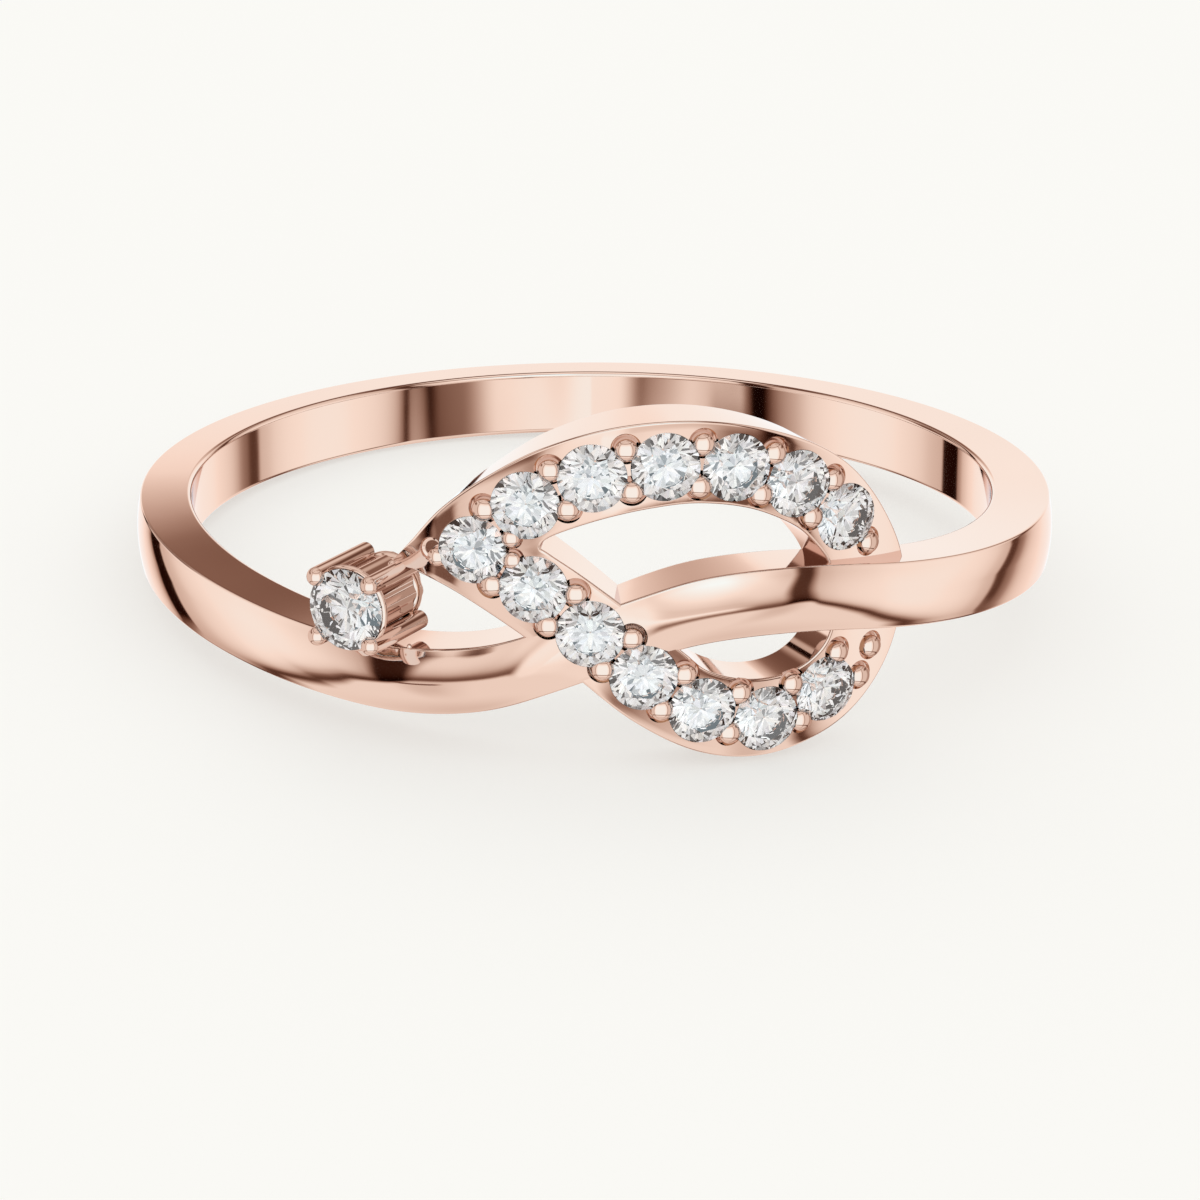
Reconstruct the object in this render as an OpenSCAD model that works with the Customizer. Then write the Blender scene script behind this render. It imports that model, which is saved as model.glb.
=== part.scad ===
// Knot finger ring: a plain band that dips and rises across the front, threaded through a
// paved leaf-shaped loop, with one larger stone in a four-prong setting at the tip of the leaf.
// Millimetres. The ring lies on its side as it rests by itself, with the floor at z = 0.
// Angles are read round the finger from the middle of the front, positive to the wearer's right.

/* [Finger] */
// radius of the finger hole
finger_r = 8.25; // [7:0.05:11]

/* [Band] */
// width of the band at the back
band_back_w = 1.42; // [1:0.02:3]
// width of the band where it crosses the front
band_front_w = 1.28; // [1:0.02:3]
// radius of the circle that the outer edges of the band follow
band_edge_r = 9.31; // [9:0.01:12]
// how far that circle stands toward the front, which leaves the back thinner
band_edge_front = 0.13; // [0:0.01:0.4]
// how far that circle stands to the right
band_edge_right = 0.07; // [0:0.01:0.4]
// how far it bulges at both sides
band_edge_side = 0.05; // [0:0.01:0.4]
// easing of the band's outer edges
band_ease = 0.05; // [0.02:0.01:0.15]
// height of the easing where the sides meet the finger hole
comfort_h = 0.16; // [0.05:0.01:0.3]
// depth of that easing into the sides
comfort_d = 0.12; // [0.05:0.01:0.3]

/* [Paved loop] */
// radius of the paved face across the finger
face_r = 8.23; // [7:0.01:12]
// how far the centre of that radius stands toward the front
face_front = 1.26; // [0:0.02:2]
// how far the centre of that radius stands to the left
face_left = 0.11; // [0:0.01:0.5]
// easing of the rims of the loop
rim_ease = 0.05; // [0.02:0.01:0.15]
// diameter of each small stone
small_d = 1.28; // [0.8:0.02:2]
// diameter of each bead that holds the small stones
bead_d = 0.44; // [0.3:0.01:0.8]
// how far a bead stands above the face
bead_rise = 0.17; // [0.05:0.01:0.4]
// height of the rounding of its top
bead_round = 0.1; // [0.02:0.01:0.2]
// how far each bead of a pair stands from the line through the stones
bead_side = 0.4; // [0.3:0.01:0.7]

/* [Prong setting] */
// angle of the setting round the finger
solo_deg = -26.3; // [-60:0.1:0]
// height of the setting above the middle of the band at the back
solo_z = 0.9; // [0:0.01:2]
// diameter of the large stone
solo_d = 1.55; // [1:0.05:4]
// distance from the finger axis to the girdle of the large stone
solo_girdle_r = 10.22; // [9.5:0.02:12]
// distance from the axis of the setting to each prong
prong_pitch_r = 0.82; // [0.5:0.01:2]
// diameter of each prong
prong_d = 0.38; // [0.2:0.01:0.8]
// how far the prongs reach past the girdle of the stone
prong_rise = 0.26; // [0.1:0.01:0.6]
// radius of the wall between the prongs
gallery_r = 0.66; // [0.4:0.01:1.5]
// how far the rim under the stone stands out past it
rim_out = 0.055; // [0.02:0.005:0.2]
// height of the rim under the stone
rim_h = 0.14; // [0.05:0.01:0.4]
// distance from the finger axis to the feet under the setting
foot_r = 9.1; // [8.6:0.02:10]
// angle of each foot from the middle of the setting
foot_deg = 3.8; // [1:0.1:8]
// thickness of each foot
foot_d = 0.26; // [0.1:0.01:0.6]
// height of each foot
foot_h = 0.6; // [0.2:0.01:1]
// how far the feet reach below the middle of the setting
foot_drop = 1.15; // [0.8:0.01:1.6]

/* [Rest] */
// how far the front is raised where the ring lies on its side
rest_pitch = 4.25; // [0:0.01:20]
// how far it leans to one side as it lies
rest_roll = -2.67; // [-10:0.01:10]
// lift that brings its lowest point to the floor
rest_lift = 1.494; // [0:0.001:10]
// shift that brings the middle of its length over the origin
rest_right = -0.069; // [-2:0.001:2]
// shift that brings the middle of its depth over the origin
rest_back = 0.215; // [-2:0.001:2]

/* [Hidden] */
clear = 0.01;
// what is built overlaps the finger hole by this much before the hole is cut
overlap = 0.15;
// the finger hole is cut from this far below the middle of the band, over this height
cut_from = -6;
cut_h = 14;
// cut of the stones, as shares of the diameter
girdle = 0.05;
crown = 0.16;
pavilion = 0.43;
table_w = 0.56;

// Path of the band. Columns: angle, height of its middle, rise of its domed face.
band_rows = [
    [-180, 0.00, 0.07],
    [-90, 0.00, 0.07],
    [-70, -0.10, 0.07],
    [-50, -0.33, 0.09],
    [-35, -0.54, 0.16],
    [-22, -0.64, 0.21],
    [-12, -0.45, 0.19],
    [-5, -0.03, 0.06],
    [0, 0.27, 0.00],
    [5, 0.57, 0.06],
    [12, 0.87, 0.19],
    [20, 0.94, 0.21],
    [28, 0.86, 0.17],
    [40, 0.57, 0.11],
    [55, 0.28, 0.08],
    [72, 0.08, 0.07],
    [90, 0.00, 0.07],
    [180, 0.00, 0.07]];
// Outline of the leaf-shaped loop from its tip over the top and back. Columns: angle, height.
leaf_rows = [
    [-23.6, 1.68],
    [-21, 2.08],
    [-17, 2.82],
    [-12, 3.46],
    [-5.5, 4.07],
    [3, 4.49],
    [12, 4.54],
    [21, 4.22],
    [29, 3.60],
    [35, 2.70],
    [40, 1.45],
    [41, 0.45],
    [39, -0.62],
    [34.5, -1.44],
    [28.5, -1.94],
    [20.5, -2.16],
    [12.5, -1.93],
    [5, -1.25],
    [-2, -0.28],
    [-8, 0.50],
    [-15, 1.20],
    [-20, 1.52],
    [-23.6, 1.54]];
// Outline of the opening in the loop from its left corner over the top. Columns: angle, height.
open_rows = [
    [-5.6, 2.20],
    [-4.3, 2.41],
    [1, 2.73],
    [6.5, 2.93],
    [12, 2.98],
    [18, 2.79],
    [23.3, 2.38],
    [26.2, 1.98],
    [28.6, 1.45],
    [29.6, 0.75],
    [28.9, 0.02],
    [26.3, -0.39],
    [22.5, -0.58],
    [18, -0.56],
    [13.5, -0.32],
    [10.8, 0.05],
    [7.4, 0.55],
    [3, 1.15],
    [-1.2, 1.68],
    [-4.6, 2.06]];
// Small stones along the upper side of the leaf from its tip. Columns: angle, height.
upper_stones = [
    [-13.3, 2.08],
    [-7.3, 2.99],
    [0.1, 3.53],
    [8.2, 3.72],
    [16.3, 3.61],
    [24.0, 3.15],
    [30.7, 2.33]];
// Small stones along the lower side, after the one at the tip. Columns: angle, height.
lower_stones = [
    [-6.4, 1.38],
    [-0.1, 0.54],
    [5.9, -0.34],
    [12.7, -1.08],
    [20.6, -1.41],
    [28.6, -1.03]];
// Single beads at the tip and at the right end of the loop. Columns: angle, height.
end_beads = [
    [-17.5, 1.88],
    [34.3, 1.72],
    [33.8, -0.95],
    [30.2, -0.34],
    [35.4, -0.40]];

// value of a column of a table at an angle, as a smooth curve through its rows
function row_at(rows, a) = max([for (i = [0:len(rows) - 2]) a >= rows[i][0] ? i : 0]);
function tilt_at(rows, i, c) =
    i <= 0 || i >= len(rows) - 1 ? 0
    : (rows[i + 1][c] - rows[i - 1][c]) / (rows[i + 1][0] - rows[i - 1][0]);
function curve_at(rows, a, c) =
    let (i = row_at(rows, a))
    let (w = rows[i + 1][0] - rows[i][0], t = (a - rows[i][0]) / w)
    (2 * t^3 - 3 * t^2 + 1) * rows[i][c] + (t^3 - 2 * t^2 + t) * w * tilt_at(rows, i, c)
    + (3 * t^2 - 2 * t^3) * rows[i + 1][c] + (t^3 - t^2) * w * tilt_at(rows, i + 1, c);

// smooth outline through points, each span cut into a number of steps
line_steps = 3;
function between(a, b, c, d, t) =
    0.5 * (2 * b + (c - a) * t + (2 * a - 5 * b + 4 * c - d) * t^2 + (3 * b - a - 3 * c + d) * t^3);
function open_line(p, steps) =
    let (n = len(p))
    [for (i = [0:n - 2]) for (k = [0:steps - 1])
        between(p[max(i - 1, 0)], p[i], p[i + 1], p[min(i + 2, n - 1)], k / steps), p[n - 1]];
function closed_line(p, steps) =
    let (n = len(p))
    [for (i = [0:n - 1]) for (k = [0:steps - 1])
        between(p[(i + n - 1) % n], p[i], p[(i + 1) % n], p[(i + 2) % n], k / steps)];

// radius of the paved face at an angle, measured from the finger axis
function face_at(a) =
    let (x = -face_left, y = -face_front, b = x * sin(a) - y * cos(a))
    b + sqrt(b^2 - x^2 - y^2 + face_r^2);
// point at an angle, a height and a distance from the finger axis
function at(a, z, r) = [r * sin(a), -r * cos(a), z];

// walls round an outline run between these distances from the finger axis
inside_r = 7.4;
outside_r = 11;
// degrees round the finger in one millimetre along the paved face
deg_mm = 180 / (PI * 9.4);
// the outline moved sideways by a distance in millimetres
function shifted(p, d) =
    let (n = len(p))
    [for (i = [0:n - 1])
        let (e = p[(i + 1) % n] - p[(i + n - 1) % n], u = [e[0] / deg_mm, e[1]], m = norm(u))
        p[i] + d / m * [-u[1] * deg_mm, u[0]]];

// section of the band at an angle, from its lower inner corner round to the upper one
arch_steps = 6;
function band_edge_at(a) =
    band_edge_r + band_edge_front * cos(a) + band_edge_right * sin(a) + band_edge_side * sin(a)^2;
function band_half_at(a) = (band_back_w + band_front_w + (band_front_w - band_back_w) * cos(a)) / 4;
function band_section(a) =
    let (h = band_half_at(a), e = band_edge_at(a), z = curve_at(band_rows, a, 1),
        dome = curve_at(band_rows, a, 2), side = h - band_ease)
    [at(a, z - h + comfort_h, finger_r - overlap), at(a, z - h, finger_r + comfort_d),
        at(a, z - h, e - band_ease),
        for (k = [0:arch_steps]) let (u = 2 * k / arch_steps - 1)
            at(a, z + u * side, e + dome * (1 - u^2)),
        at(a, z + h, e - band_ease), at(a, z + h, finger_r + comfort_d),
        at(a, z + h - comfort_h, finger_r - overlap)];

band_steps = 90;

module band() {
    rings = [for (i = [0:band_steps - 1]) band_section(-180 + 360 * i / band_steps)];
    m = len(rings[0]);
    points = [for (ring = rings) for (p = ring) p];
    faces = [for (i = [0:band_steps - 1]) for (k = [0:m - 1])
        let (j = (i + 1) % band_steps, l = (k + 1) % m)
        for (f = [[i * m + k, j * m + l, j * m + k], [i * m + k, i * m + l, j * m + l]]) f];
    polyhedron(points, faces, convexity = 8);
}

// Walls that run straight out from the finger axis round an outline, eased where they pass the
// paved face: way = -1 draws the outline in there, and way = 1 lets it out.
loop_mid = [12, 1.2];

module radial_walls(line, way) {
    n = len(line);
    low = shifted(line, -way * rim_ease);
    top = shifted(line, way * rim_ease);
    points = [
        for (p = low) at(p[0], p[1], inside_r),
        for (p = low) at(p[0], p[1], face_at(p[0]) - rim_ease),
        for (p = top) at(p[0], p[1], face_at(p[0]) + rim_ease),
        for (p = top) at(p[0], p[1], outside_r),
        at(loop_mid[0], loop_mid[1], inside_r),
        at(loop_mid[0], loop_mid[1], outside_r)];
    walls = [for (r = [0:n:2 * n]) for (i = [0:n - 1])
        let (a = r + i, b = r + (i + 1) % n)
        for (f = [[a, b, b + n], [a, b + n, a + n]]) f];
    ends = [for (i = [0:n - 1])
        let (j = (i + 1) % n)
        for (f = [[j, i, 4 * n], [3 * n + i, 3 * n + j, 4 * n + 1]]) f];
    polyhedron(points, [each walls, each ends], convexity = 8);
}

module leaf_loop() {
    difference() {
        intersection() {
            translate([-face_left, -face_front, cut_from]) cylinder(r = face_r, h = cut_h, $fn = 180);
            radial_walls(open_line(leaf_rows, line_steps), -1);
        }
        radial_walls(closed_line(open_rows, line_steps), 1);
    }
}

// stands a shape on the paved face, with its own z pointing away from the finger
module on_face(a, z, out = 0) {
    translate(at(a, z, face_at(a) + out)) rotate([90, 0, a]) children();
}

// width of the flat tip of a bead or a prong as a share of its thickness
tip_w = 0.72;

module bead(a, z) {
    r = bead_d / 2;
    on_face(a, z) rotate_extrude($fn = 24)
        polygon([[0, -r], [r, -r], [r, bead_rise - bead_round], [r * tip_w, bead_rise], [0, bead_rise]]);
}

module bead_pair(p, q) {
    m = (p + q) / 2;
    d = [(q[0] - p[0]) / deg_mm, q[1] - p[1]];
    side = bead_side / norm(d);
    bead(m[0] - side * d[1] * deg_mm, m[1] + side * d[0]);
    bead(m[0] + side * d[1] * deg_mm, m[1] - side * d[0]);
}

module beads() {
    lower = [upper_stones[0], each lower_stones];
    for (i = [0:len(upper_stones) - 2]) bead_pair(upper_stones[i], upper_stones[i + 1]);
    for (i = [0:len(lower) - 2]) bead_pair(lower[i], lower[i + 1]);
    for (p = end_beads) bead(p[0], p[1]);
}

// room for a round stone of diameter d with its girdle at z = 0, open over its table
module stone_room(d) {
    r = d / 2 + clear;
    table_r = r * table_w;
    rotate_extrude($fn = 48) polygon([
        [0, -pavilion * d - clear], [r, -girdle * d / 2], [r, girdle * d / 2 + clear],
        [table_r, crown * d + clear], [table_r, d], [0, d]]);
}

module seats() {
    for (p = [each upper_stones, each lower_stones]) on_face(p[0], p[1], -clear) stone_room(small_d);
}

// stands a shape at the girdle of the large stone, with its own z pointing away from the finger
module at_setting() {
    translate(at(solo_deg, solo_z, solo_girdle_r)) rotate([90, 0, solo_deg]) children();
}

// The setting: four round prongs, the wall between them, the rim under the stone and the two feet
// that join it to the band.
module setting() {
    back = finger_r + overlap - solo_girdle_r;
    r = prong_d / 2;
    rim_top = -girdle * solo_d / 2;
    at_setting() {
        translate([0, 0, back]) cylinder(r = gallery_r, h = rim_top - rim_h / 2 - back, $fn = 48);
        translate([0, 0, rim_top - rim_h]) cylinder(r = solo_d / 2 + rim_out, h = rim_h, $fn = 48);
        for (a = [45:90:315]) rotate(a) translate([prong_pitch_r, 0, 0]) rotate_extrude($fn = 24)
            polygon([[0, back], [r, back], [r, prong_rise - bead_round], [r * tip_w, prong_rise],
                [0, prong_rise]]);
    }
    for (side = [-1, 1]) translate(at(solo_deg + side * foot_deg, solo_z - foot_drop, foot_r))
        cylinder(r = foot_d / 2, h = foot_h, $fn = 24);
}

module finger_hole() {
    translate([0, 0, cut_from]) cylinder(r = finger_r, h = cut_h, $fn = 180);
}

// turns the upright working position into the one in which the ring rests on the floor
module at_rest() {
    translate([rest_right, rest_back, rest_lift]) rotate([-rest_pitch, rest_roll, 0]) children();
}

module ring_metal() {
    color("#e8b9a2") at_rest() difference() {
        union() {
            band();
            leaf_loop();
            beads();
            setting();
        }
        finger_hole();
        seats();
        at_setting() stone_room(solo_d);
    }
}

module large_stone() {
    r = solo_d / 2;
    flat = 0.01;
    color("#eef2f5") at_rest() at_setting() hull() {
        translate([0, 0, -pavilion * solo_d]) cylinder(r = flat, h = flat, $fn = 8);
        translate([0, 0, -girdle * solo_d / 2]) cylinder(r = r, h = girdle * solo_d, $fn = 32);
        translate([0, 0, crown * solo_d - flat]) rotate(22.5) cylinder(r = r * table_w, h = flat, $fn = 8);
    }
}

ring_metal();
large_stone();
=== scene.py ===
import math

import bmesh
import bpy
from mathutils import Matrix, Vector


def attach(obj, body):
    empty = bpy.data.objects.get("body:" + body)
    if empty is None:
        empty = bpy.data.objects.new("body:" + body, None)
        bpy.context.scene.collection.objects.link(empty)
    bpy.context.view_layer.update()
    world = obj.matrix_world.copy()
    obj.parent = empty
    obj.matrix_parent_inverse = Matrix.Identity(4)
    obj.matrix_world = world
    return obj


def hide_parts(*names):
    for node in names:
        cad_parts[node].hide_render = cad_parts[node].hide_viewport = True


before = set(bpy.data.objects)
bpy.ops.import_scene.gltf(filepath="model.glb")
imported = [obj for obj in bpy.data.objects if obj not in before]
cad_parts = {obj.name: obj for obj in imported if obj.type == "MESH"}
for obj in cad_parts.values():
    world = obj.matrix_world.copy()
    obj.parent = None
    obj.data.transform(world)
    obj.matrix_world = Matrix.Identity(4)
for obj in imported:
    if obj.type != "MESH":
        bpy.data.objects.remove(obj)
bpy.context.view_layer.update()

# The band: one cast and polished strip of rose gold, flat inside and domed outside, eased where it
# meets the finger. At the front it dips, rises through the loop and comes down again, and where it
# crosses the loop its outside is level with the loop's face.
FINGER_R = 8.25
BAND_EDGE_R = 9.35
BAND_HALF = 0.675
BAND_STEPS = 480
EASE, EASE_STEPS = 0.05, 4
COMFORT, COMFORT_STEPS = 0.1, 5
OUTSIDE_CUTS, INSIDE_CUTS, SIDE_CUTS = 15, 5, 3
FRONT_WIDTH, BACK_WIDTH = 1.28, 1.42
# radius of the outer edges: all round, and what the front, the right and both sides have more
EDGE_R, EDGE_FRONT, EDGE_RIGHT, EDGE_SIDES = 9.31, 0.13, 0.07, 0.05
# columns: angle, height of the band's middle, rise of its dome
BAND_ROWS = [
    (-180, 0.00, 0.07), (-90, 0.00, 0.07), (-70, -0.10, 0.07), (-50, -0.33, 0.09),
    (-35, -0.54, 0.16), (-22, -0.64, 0.21), (-12, -0.45, 0.19), (-5, -0.03, 0.06),
    (0, 0.27, 0.00), (5, 0.57, 0.03), (12, 0.87, 0.18), (20, 0.94, 0.21), (28, 0.86, 0.17),
    (40, 0.57, 0.11), (55, 0.28, 0.08), (72, 0.08, 0.07), (90, 0.00, 0.07), (180, 0.00, 0.07)]


def band_curve(angle, column):
    rows = BAND_ROWS
    i = max(k for k in range(len(rows) - 1) if k == 0 or angle >= rows[k][0])

    def lean(k):
        if k <= 0 or k >= len(rows) - 1:
            return 0
        return (rows[k + 1][column] - rows[k - 1][column]) / (rows[k + 1][0] - rows[k - 1][0])

    w = rows[i + 1][0] - rows[i][0]
    t = (angle - rows[i][0]) / w
    return ((2 * t**3 - 3 * t**2 + 1) * rows[i][column] + (t**3 - 2 * t**2 + t) * w * lean(i)
            + (3 * t**2 - 2 * t**3) * rows[i + 1][column] + (t**3 - t**2) * w * lean(i + 1))


# the curve, evened out over a few degrees to both sides
def band_smooth(angle, column):
    near = [(d, 6 - abs(d)) for d in range(-5, 6)]
    total = sum(band_curve(min(max(angle + d, -180), 180), column) * w for d, w in near)
    return total / sum(w for _, w in near)


def band_edge(angle):
    a = math.radians(angle)
    return (EDGE_R + EDGE_FRONT * math.cos(a) + EDGE_RIGHT * math.sin(a)
            + EDGE_SIDES * math.sin(a) ** 2)


def band_half(angle):
    return (BACK_WIDTH + FRONT_WIDTH
            + (FRONT_WIDTH - BACK_WIDTH) * math.cos(math.radians(angle))) / 4


# the loop's face, as radius from the finger's axis: a cylinder set forward, bent in at its tip and
# a little domed toward the right
FACE_R, FACE_FRONT, FACE_LEFT = 8.23, 1.26, 0.11
TIP_FROM, TIP_BEND = -15.5, 0.0022
DOME_FROM, DOME_OVER, DOME_TOP, DOME_DROP, DOME_LEVEL = -5, 13, 3.2, 0.006, 10
# angles between which the band's outside turns into that face, and out of it again
LEVEL_FROM, LEVEL_TO = (-16, -7), (6, 14)


def ramp(value, low, high):
    t = min(max((value - low) / (high - low), 0), 1)
    return t * t * (3 - 2 * t)


def face_dome(angle):
    return DOME_DROP * ramp(angle, DOME_FROM, DOME_FROM + DOME_OVER)


def face_at(angle, height):
    a = math.radians(angle)
    x, y = -FACE_LEFT, -FACE_FRONT
    b = x * math.sin(a) - y * math.cos(a)
    bend = TIP_BEND * max(TIP_FROM - angle, 0) ** 2
    dome = face_dome(angle) * ((height - DOME_TOP) ** 2 - DOME_LEVEL)
    return b + math.sqrt(b * b - x * x - y * y + FACE_R ** 2) - bend - dome


# Pieces are modelled upright round the finger's axis, in millimetres, with the front toward -Y.
# Angles are read from the middle of the front, positive to the right.
def around(angle, height, radius):
    a = math.radians(angle)
    return Vector((radius * math.sin(a), -radius * math.cos(a), height))


def only(piece):
    if bpy.context.object and bpy.context.object.mode == "EDIT":
        bpy.ops.object.mode_set(mode="OBJECT")
    bpy.ops.object.select_all(action="DESELECT")
    piece.select_set(True)
    bpy.context.view_layer.objects.active = piece


def edit(piece):
    only(piece)
    bpy.ops.object.mode_set(mode="EDIT")
    bpy.ops.mesh.select_all(action="SELECT")
    return bmesh.from_edit_mesh(piece.data)


# selects only the vertices, edges or faces that are wanted
def choose(mesh, kind, wanted):
    bpy.ops.mesh.select_all(action="DESELECT")
    bpy.ops.mesh.select_mode(type=kind)
    for part in {"VERT": mesh.verts, "EDGE": mesh.edges, "FACE": mesh.faces}[kind]:
        part.select_set(wanted(part))


def clean_up(piece, gap=1e-4):
    edit(piece)
    bpy.ops.mesh.remove_doubles(threshold=gap)
    bpy.ops.mesh.normals_make_consistent(inside=False)
    bpy.ops.object.mode_set(mode="OBJECT")


# the band's section, with round edges, is spun to a hoop, and the hoop is then drawn to its heights
bpy.ops.object.select_all(action="DESELECT")
middle = (FINGER_R + BAND_EDGE_R) / 2
bpy.ops.mesh.primitive_plane_add(size=1, location=(0, -middle, 0), rotation=(0, math.pi / 2, 0))
band = bpy.context.object
band.scale = (2 * BAND_HALF, BAND_EDGE_R - FINGER_R, 1)
bpy.ops.object.transform_apply(location=True, rotation=True, scale=True)
for wall, size, steps in ((-BAND_EDGE_R, EASE, EASE_STEPS), (-FINGER_R, COMFORT, COMFORT_STEPS)):
    mesh = edit(band)
    choose(mesh, "VERT", lambda v: abs(v.co.y - wall) < 1e-4)
    mesh.select_flush(True)
    bpy.ops.mesh.bevel(offset=size, segments=steps, affect="VERTICES", profile=0.5)
    bpy.ops.object.mode_set(mode="OBJECT")
edit(band)
bpy.ops.mesh.delete(type="ONLY_FACE")
bpy.ops.object.mode_set(mode="OBJECT")


def along_side(edge):
    a, b = (v.co for v in edge.verts)
    return abs(a.z - b.z) < 1e-5 and abs(a.y - b.y) > EASE + COMFORT


for wall, cuts in ((-BAND_EDGE_R, OUTSIDE_CUTS), (-FINGER_R, INSIDE_CUTS)):
    choose(edit(band), "EDGE", lambda e: sum(abs(v.co.y - wall) for v in e.verts) < 1e-4)
    bpy.ops.mesh.subdivide(number_cuts=cuts)
    bpy.ops.object.mode_set(mode="OBJECT")
choose(edit(band), "EDGE", along_side)
bpy.ops.mesh.subdivide(number_cuts=SIDE_CUTS)
bpy.ops.object.mode_set(mode="OBJECT")
edit(band)
bpy.ops.mesh.spin(steps=BAND_STEPS, angle=2 * math.pi, center=(0, 0, 0), axis=(0, 0, 1))
bpy.ops.object.mode_set(mode="OBJECT")
clean_up(band)
for v in band.data.vertices:
    angle = math.degrees(math.atan2(v.co.x, -v.co.y))
    radius = math.hypot(v.co.x, v.co.y)
    share = min(max((radius - FINGER_R) / (BAND_EDGE_R - FINGER_R), 0), 1)
    grow = share * share * (3 - 2 * share)
    u = min(abs(v.co.z) / (BAND_HALF - EASE), 1)
    dome = band_smooth(angle, 2) * (1 - u * u) if share > 0.999 else 0
    height = v.co.z * band_half(angle) / BAND_HALF + band_smooth(angle, 1)
    level = ramp(angle, *LEVEL_FROM) * (1 - ramp(angle, *LEVEL_TO))
    edge = band_edge(angle) * (1 - level) + face_at(angle, height) * level
    radius += grow * (edge - BAND_EDGE_R) + dome
    v.co = around(angle, height, radius)

ROSE_DEEP, ROSE_PALE = (0.925, 0.690, 0.575, 1), (0.940, 0.710, 0.595, 1)
ROSE_GLANCING = (1.0, 0.86, 0.80, 1)
POLISH_FINE, POLISH_HAZY = 0.03, 0.075
MOP_DEPTH = 0.0000006
gold = bpy.data.materials.new("polished_rose_gold")
gold.use_nodes = True
nodes, link = gold.node_tree.nodes, gold.node_tree.links.new
shader = nodes["Principled BSDF"]
shader.inputs["Metallic"].default_value = 1.0
shader.inputs["Specular Tint"].default_value = ROSE_GLANCING
place = nodes.new("ShaderNodeTexCoord")
# alloy: a very soft change of tone, a few millimetres across
cloud = nodes.new("ShaderNodeTexNoise")
cloud.inputs["Scale"].default_value = 260
cloud.inputs["Detail"].default_value = 2
link(place.outputs["Object"], cloud.inputs["Vector"])
tone = nodes.new("ShaderNodeValToRGB")
tone.color_ramp.elements[0].position = 0.3
tone.color_ramp.elements[0].color = ROSE_DEEP
tone.color_ramp.elements[1].position = 0.7
tone.color_ramp.elements[1].color = ROSE_PALE
link(cloud.outputs["Fac"], tone.inputs["Fac"])
link(tone.outputs["Color"], shader.inputs["Base Color"])
# polish: slight haze that comes and goes, and a trace of the polishing mop in the surface
haze = nodes.new("ShaderNodeTexNoise")
haze.inputs["Scale"].default_value = 1500
haze.inputs["Detail"].default_value = 4
link(place.outputs["Object"], haze.inputs["Vector"])
rough = nodes.new("ShaderNodeMapRange")
rough.inputs["To Min"].default_value = POLISH_FINE
rough.inputs["To Max"].default_value = POLISH_HAZY
link(haze.outputs["Fac"], rough.inputs["Value"])
link(rough.outputs["Result"], shader.inputs["Roughness"])
mop = nodes.new("ShaderNodeTexNoise")
mop.inputs["Scale"].default_value = 900
mop.inputs["Detail"].default_value = 1
link(place.outputs["Object"], mop.inputs["Vector"])
bump = nodes.new("ShaderNodeBump")
bump.inputs["Strength"].default_value = 1.0
bump.inputs["Distance"].default_value = MOP_DEPTH
link(mop.outputs["Fac"], bump.inputs["Height"])
link(bump.outputs["Normal"], shader.inputs["Normal"])

# The paved loop: a leaf-shaped ribbon of the same gold, with walls that run straight out from the
# finger and a face rounded like a cylinder. Its left arm lies over the band and its right end under
# it, and thirteen seats are drilled in its face, with a small hollow cut round each bead.
RIM, TIP_RIM, TIP_LENGTH = 0.05, 0.004, 0.5
INNER_R = FINGER_R + 0.008
RIBS, ACROSS, ARC = 420, 14, 4
# both outlines, as angle and height: the leaf starts and ends at its tip, the opening is closed
LEAF = [
    (-23.6, 1.61), (-21, 2.08), (-17, 2.82), (-12, 3.46), (-5.5, 4.07), (3, 4.49), (12, 4.54),
    (21, 4.22), (29, 3.60), (35, 2.70), (40, 1.45), (41, 0.45), (39, -0.62), (34.5, -1.44),
    (28.5, -1.94), (20.5, -2.16), (12.5, -1.93), (5, -1.25), (-2, -0.28), (-8, 0.50),
    (-15, 1.20), (-20, 1.52), (-23.6, 1.61)]
OPENING = [
    (-5.6, 2.20), (-4.3, 2.41), (1, 2.73), (6.5, 2.93), (12, 2.98), (18, 2.79), (23.3, 2.38),
    (26.2, 1.98), (28.6, 1.45), (29.6, 0.75), (28.9, 0.02), (26.3, -0.39), (22.5, -0.58),
    (18, -0.56), (13.5, -0.32), (10.8, 0.05), (7.4, 0.55), (3, 1.15), (-1.2, 1.68), (-4.6, 2.06)]
# places on the leaf's outline, and those on the opening's that lie across from them
ACROSS_FROM = [(0, 0), (5, 2), (8, 6), (10, 8.5), (12, 11), (15, 13), (19, 17), (22, 20)]
DEG_MM = 180 / (math.pi * 9.4)   # degrees to one millimetre along the face


def outline(rows, t, closed):
    n = len(rows)
    i = min(int(t), n - 1 if closed else n - 2)
    f = t - i
    pick = (lambda k: rows[k % n]) if closed else (lambda k: rows[min(max(k, 0), n - 1)])
    a, b, c, d = (Vector(pick(i + k)) for k in (-1, 0, 1, 2))
    return 0.5 * (2 * b + (c - a) * f + (2 * a - 5 * b + 4 * c - d) * f ** 2
                  + (3 * b - a - 3 * c + d) * f ** 3)


def outward(rows, t, closed):
    n = len(rows) if closed else len(rows) - 1
    step = 0.02
    ends = [(t + s) % n if closed else min(max(t + s, 0), n) for s in (-step, step)]
    a, b = (outline(rows, e, closed) for e in ends)
    along = Vector(((b.x - a.x) / DEG_MM, b.y - a.y)).normalized()
    return Vector((-along.y * DEG_MM, along.x))


def across_from(t):
    for (a, b), (c, d) in zip(ACROSS_FROM, ACROSS_FROM[1:]):
        if t <= c:
            return b + (t - a) / (c - a) * (d - b)
    return ACROSS_FROM[-1][1]


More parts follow.
